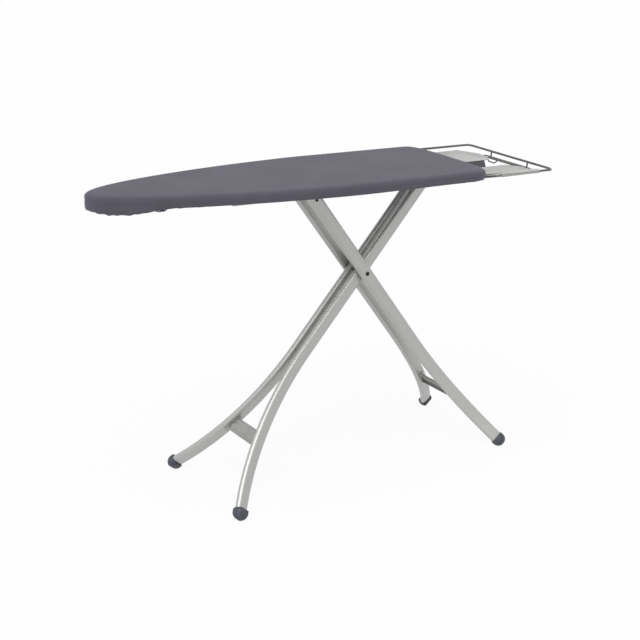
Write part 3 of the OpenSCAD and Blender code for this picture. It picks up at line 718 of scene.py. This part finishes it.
# Rolled and drawn metal: fine marks and slow clouding of the coat
grain = bpy.data.node_groups.new("metal_grain", "ShaderNodeTree")
tree_socket(grain, "Vector", "NodeSocketVector")
tree_socket(grain, "Marks", "NodeSocketFloat", value=400.0)
tree_socket(grain, "Clouds", "NodeSocketFloat", value=6.0)
tree_socket(grain, "Light", "NodeSocketColor")
tree_socket(grain, "Dark", "NodeSocketColor")
tree_socket(grain, "Smooth", "NodeSocketFloat", value=0.3)
tree_socket(grain, "Rough", "NodeSocketFloat", value=0.45)
tree_socket(grain, "Colour", "NodeSocketColor", into=False)
tree_socket(grain, "Roughness", "NodeSocketFloat", into=False)
tree_socket(grain, "Height", "NodeSocketFloat", into=False)
enter = grain.nodes.new("NodeGroupInput")
leave = grain.nodes.new("NodeGroupOutput")
marks = noise(grain, enter.outputs["Vector"], enter.outputs["Marks"], 4.0)
clouds = noise(grain, enter.outputs["Vector"], enter.outputs["Clouds"], 5.0)
mark_share = 0.45
grain_from, grain_to = 0.36, 0.62
mixed = maths(grain, "ADD", maths(grain, "MULTIPLY", marks, mark_share),
              maths(grain, "MULTIPLY", clouds, 1 - mark_share))
grain.links.new(tint(grain, spread(grain, mixed, 0.0, 1.0, grain_from, grain_to),
                     enter.outputs["Dark"], enter.outputs["Light"]), leave.inputs["Colour"])
grain.links.new(spread(grain, mixed, enter.outputs["Smooth"], enter.outputs["Rough"],
                       grain_from, grain_to), leave.inputs["Roughness"])
grain.links.new(marks, leave.inputs["Height"])


def metal(name, light, dark, marks_at, clouds_at, smooth_at, rough_at, shine,
          depth=0.00002, kind="Object", stretch=(1, 1, 1)):
    """A metal or coated-metal finish."""
    made, tree, shader = finish(name, metallic=shine)
    used = tree.nodes.new("ShaderNodeGroup")
    used.node_tree = grain
    for socket, value in (("Marks", marks_at), ("Clouds", clouds_at), ("Smooth", smooth_at),
                          ("Rough", rough_at), ("Light", (*light, 1)), ("Dark", (*dark, 1))):
        used.inputs[socket].default_value = value
    tree.links.new(coordinates(tree, kind, stretch), used.inputs["Vector"])
    tree.links.new(used.outputs["Colour"], shader.inputs["Base Color"])
    tree.links.new(used.outputs["Roughness"], shader.inputs["Roughness"])
    bump(tree, shader, used.outputs["Height"], depth)
    return made


silver = metal("satin_silver", (0.51, 0.51, 0.50), (0.44, 0.44, 0.43), marks_at=9.0,
               clouds_at=1.6, smooth_at=0.38, rough_at=0.47, shine=0.72, depth=0.000005, kind="UV",
               stretch=(0.7, 45, 1))
tube_ys = {"inner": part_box("inner_leg_back")[0].y + tube_thick / 2,
           "outer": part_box("outer_leg_back")[0].y + tube_thick / 2}
for pair, y0 in tube_ys.items():
    leans_back = pair == "inner"
    turn_all = acos(1 - (stance / 2 - y0) / sweep_r)
    foot_run = arm_down - sweep_r * sin(turn_all) + sweep_r * turn_all
    start = -(arm_up + tube_top)
    stops = [start + (foot_run - start) * i / tube_steps for i in range(tube_steps + 1)]
    bore_thick, bore_wide = tube_thick - 2 * tube_wall, tube_wide - 2 * tube_wall
    for hand in ("front", "back"):
        on_front = hand == "front"
        rings = [leg_ring(y0, at, tube_thick, tube_wide, leans_back, on_front) for at in stops]
        rings += [leg_ring(y0, at, bore_thick, bore_wide, leans_back, on_front)
                  for at in reversed(stops)]
        leg = lofted(f"{pair}_tube_{hand}", rings, run=stops + stops[::-1])
        leg.data.materials.append(silver)
        stands_for(leg, f"{pair}_legs", "leg_paint", f"{pair}_leg_{hand}")

# ---- Foot caps ----
# Moulded dark blue-grey rubber, pushed over the tube end: an oval mouth, a short round collar
# with a groove, and a ball worn to a small flat where it stands.
cap_r, collar = 0.0224, 0.009
rubber, tree, shader = finish("foot_rubber", roughness=0.5)
where = coordinates(tree)
speckle = noise(tree, where, 1400.0, 2.0)
scuffs = noise(tree, where, 70.0, 6.0)
tree.links.new(tint(tree, spread(tree, scuffs, 0.0, 1.0, start=0.40, end=0.68),
                    (0.050, 0.054, 0.074), (0.082, 0.086, 0.108)), shader.inputs["Base Color"])
tree.links.new(spread(tree, scuffs, 0.42, 0.62), shader.inputs["Roughness"])
bump(tree, shader, speckle, 0.00012, 0.6)
cap_section = [(-collar, cap_r - 0.0012), (-collar + 0.0008, cap_r - 0.0002), (-0.0068, cap_r),
               (-0.0060, cap_r - 0.0007), (-0.0048, cap_r - 0.0007), (-0.0040, cap_r),
               (-0.0010, cap_r)]
for degrees in range(0, 89, 5):
    a = radians(degrees)
    cap_section.append((cap_r * sin(a), cap_r * cos(a)))
cap_section.append((cap_r, 0.0002))
mouth_along = -0.0005
mouth = oval(tube_thick + 0.0004, tube_wide + 0.0002, oval_steps)
angles = [Vector(p).normalized() for p in mouth]
cap_outlines = [(mouth_along, mouth), (-collar, mouth)]
for along, r in cap_section:
    cap_outlines.append((along, [(r * v.x, r * v.y) for v in angles]))
for pair, y0 in tube_ys.items():
    turn = acos(1 - (stance / 2 - y0) / sweep_r)
    foot_out = y0 + sweep_r * (1 - cos(turn))
    for hand in ("front", "back"):
        rings = []
        for along, outline in cap_outlines:
            ring = []
            for p, q in outline:
                u = arm_down + along * cos(turn) - p * sin(turn)
                out = foot_out + along * sin(turn) + p * cos(turn)
                point = leg_point(u, out, q, pair == "inner", hand == "front")
                point.z = max(point.z, 0.0)
                ring.append(point)
            rings.append(ring)
        cap = lofted(f"{pair}_cap_{hand}", rings, tube=False)
        cap.data.materials.append(rubber)
        stands_for(cap, f"{pair}_legs", "foot_rubber", f"{pair}_foot_{hand}")

# ---- Iron rest wires ----
# Drawn steel wire, bent cold and coated dark grey: the outer frame rises and spreads from below
# the tail, two nested wires carry the plates, two posts tie them and a small hook hangs below.
wire_grey = metal("grey_coated_wire", (0.165, 0.165, 0.155), (0.105, 0.105, 0.098),
                  marks_at=700.0, clouds_at=25.0, smooth_at=0.30, rough_at=0.5, shine=0.55)
frame_low, frame_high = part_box("rest_frame")
bars_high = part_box("rest_inner_bars")[1]
posts_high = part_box("rest_posts")[1]
hook_low, hook_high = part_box("rest_hook")
wire_r, bar_r, post_r, hook_r = 0.0035, 0.003, 0.0025, 0.002
wire_under, bar_apart = 0.090, 0.012
wire_start = tail_x - wire_under
end_x = frame_high.x - wire_r
rest_z, bar_z = frame_high.z - wire_r, frame_low.z + wire_r
rest_y, tucked_y = frame_high.y - wire_r, 0.125
wire_rise = 0.014
outer_wire = [(wire_start, tucked_y, bar_z), (tail_x, tucked_y, bar_z),
              (tail_x + wire_rise, rest_y, rest_z), (end_x, rest_y, rest_z)]
outer_wire += [(x, -y, z) for x, y, z in reversed(outer_wire)]
stands_for(grown("rest_outer_wire", bent, [(outer_wire, False)],
                 {"Wire radius": wire_r, "Bend radius": 0.016, "Finish": wire_grey}),
           "board", "rest_wire", "rest_frame")
inner_lines = []
for inward in (bar_apart, 0):
    x, y = bars_high.x - bar_r - inward, bars_high.y - bar_r - inward
    bar = [(wire_start, y, bar_z), (x, y, bar_z), (x, -y, bar_z), (wire_start, -y, bar_z)]
    inner_lines.append((bar, False))
stands_for(grown("rest_inner_wires", bent, inner_lines,
                 {"Wire radius": bar_r, "Bend radius": 0.009, "Finish": wire_grey}),
           "board", "rest_wire", "rest_inner_bars")
post_y = posts_high.y - post_r
bar_x = bars_high.x - bar_r
posts = [([(bar_x, y, bar_z), (end_x, y, rest_z)], False) for y in (-post_y, post_y)]
stands_for(grown("rest_post_wires", bent, posts,
                 {"Wire radius": post_r, "Bend radius": 0.0, "Finish": wire_grey}),
           "board", "rest_wire", "rest_posts")
hook_x = (hook_low.x + hook_high.x) / 2
hook_top, hook_bottom = bar_z - bar_r + 0.0004, hook_low.z + hook_r
hook_ends, hook_bends = (-0.084, -0.038), (-0.074, -0.048)
if hook_high.y > 0:
    hook_ends, hook_bends = (0.084, 0.038), (0.074, 0.048)
hook_line = [(hook_x, hook_ends[0], hook_top), (hook_x, hook_bends[0], hook_bottom),
             (hook_x, hook_bends[1], hook_bottom), (hook_x, hook_ends[1], hook_top)]
stands_for(grown("rest_wire_hook", bent, [(hook_line, False)],
                 {"Wire radius": hook_r, "Bend radius": 0.006, "Finish": wire_grey}),
           "board", "rest_wire", "rest_hook")


# ---- Pressed steel ----
# Sheet pieces are cut and folded from flat steel, so each edge is eased by a fraction of a
# millimetre. The rest's plates are light grey with painted shade on one flange, the braces bare.
def eased(node, edge, steps=2):
    """A copy of a CAD node with its facets joined and its sharp edges rounded off."""
    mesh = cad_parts[node].data.copy()
    bm = bmesh.new()
    bm.from_mesh(mesh)
    bmesh.ops.remove_doubles(bm, verts=bm.verts, dist=1e-6)
    bmesh.ops.dissolve_limit(bm, angle_limit=radians(0.6), verts=bm.verts, edges=bm.edges)
    bm.to_mesh(mesh)
    bm.free()
    mesh.materials.clear()
    piece = bpy.data.objects.new(node + "_pressed", mesh)
    scene.collection.objects.link(piece)
    soft = piece.modifiers.new("eased_edges", "BEVEL")
    soft.width = edge
    soft.segments = steps
    soft.limit_method = "ANGLE"
    soft.angle_limit = radians(40)
    soft.harden_normals = True
    for f in mesh.polygons:
        f.use_smooth = True
    return piece


plate_edge, brace_edge, flange_drop = 0.0005, 0.0006, 0.004
plate_grey = metal("grey_coated_plate", (0.43, 0.43, 0.42), (0.35, 0.35, 0.345), marks_at=900.0,
                   clouds_at=14.0, smooth_at=0.42, rough_at=0.6, shine=0.25)
brace_grey = metal("bright_sheet", (0.42, 0.42, 0.41), (0.30, 0.30, 0.29), marks_at=300.0,
                   clouds_at=18.0, smooth_at=0.30, rough_at=0.5, shine=0.8, stretch=(1, 0.12, 1))
# Painted shade: dark purple-grey on the back plate's folded flange, standing in for the shade under
# the tail
painted_shade_flange = metal("flange_painted_shade", (0.100, 0.096, 0.112), (0.075, 0.072, 0.086),
                    marks_at=900.0, clouds_at=14.0, smooth_at=0.42, rough_at=0.6, shine=0.2)
for node in ("rest_plate_front", "rest_plate_back"):
    plate = eased(node, plate_edge)
    plate.data.materials.append(plate_grey)
    plate.data.materials.append(painted_shade_flange)
    plate_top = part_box(node)[1].z
    # The back plate's faces below its top take the painted shade
    for face in plate.data.polygons:
        if node == "rest_plate_back" and face.center.z < plate_top - flange_drop:
            face.material_index = 1
    stands_for(plate, "board", "rest_plate", node)
for node, body in (("inner_brace", "inner_legs"), ("outer_brace", "outer_legs")):
    brace = eased(node, brace_edge)
    brace.data.materials.append(brace_grey)
    stands_for(brace, body, "brace_steel", node)

# ---- Board steel, axles and lever ----
# The perforated top, its rim, ribs and crossbar are sprayed pale grey. The rails, axles, lever
# and clips are zinc plated, and the small screws and rivets blackened.
sprayed = metal("sprayed_steel", (0.36, 0.365, 0.375), (0.29, 0.295, 0.305), marks_at=650.0,
                clouds_at=5.0, smooth_at=0.42, rough_at=0.6, shine=0.2)
zinc = metal("zinc_plate", (0.46, 0.47, 0.49), (0.30, 0.31, 0.33), marks_at=120.0, clouds_at=30.0,
             smooth_at=0.26, rough_at=0.48, shine=0.9)
blackened = metal("blackened_steel", (0.028, 0.028, 0.030), (0.014, 0.014, 0.015), marks_at=900.0,
                  clouds_at=60.0, smooth_at=0.32, rough_at=0.52, shine=0.6)
nylon, tree, shader = finish("black_nylon", roughness=0.45)
where = coordinates(tree)
mottle = noise(tree, where, 260.0, 3.0)
tree.links.new(tint(tree, spread(tree, mottle, 0.0, 1.0), (0.030, 0.030, 0.034),
                    (0.052, 0.052, 0.058)), shader.inputs["Base Color"])
tree.links.new(spread(tree, mottle, 0.38, 0.54), shader.inputs["Roughness"])
bump(tree, shader, noise(tree, where, 1800.0, 1.0), 0.00008, 0.5)
finishes = {
    sprayed: ("top_panel", "rim", "cross_ribs", "tail_crossbar"),
    zinc: ("slide_rail_front", "slide_rail_back", "lever_brackets", "bracket_rivets",
           "lever_spring", "rest_straps", "inner_axle", "inner_axle_clips", "slider_axle",
           "lever_rod", "lever_catch", "lever_handle"),
    blackened: ("rest_screws", "crossing_pin", "inner_plug_bolts", "outer_plug_bolts"),
    nylon: ("inner_axle_sleeves", "inner_plugs", "crossing_sleeve", "crossing_washers",
            "slider_glides", "outer_plugs", "lever_grip")}
for material, nodes in finishes.items():
    for node in nodes:
        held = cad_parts[node]
        for at in range(max(1, len(held.material_slots))):
            if held.material_slots:
                held.material_slots[at].material = material
            else:
                held.data.materials.append(material)
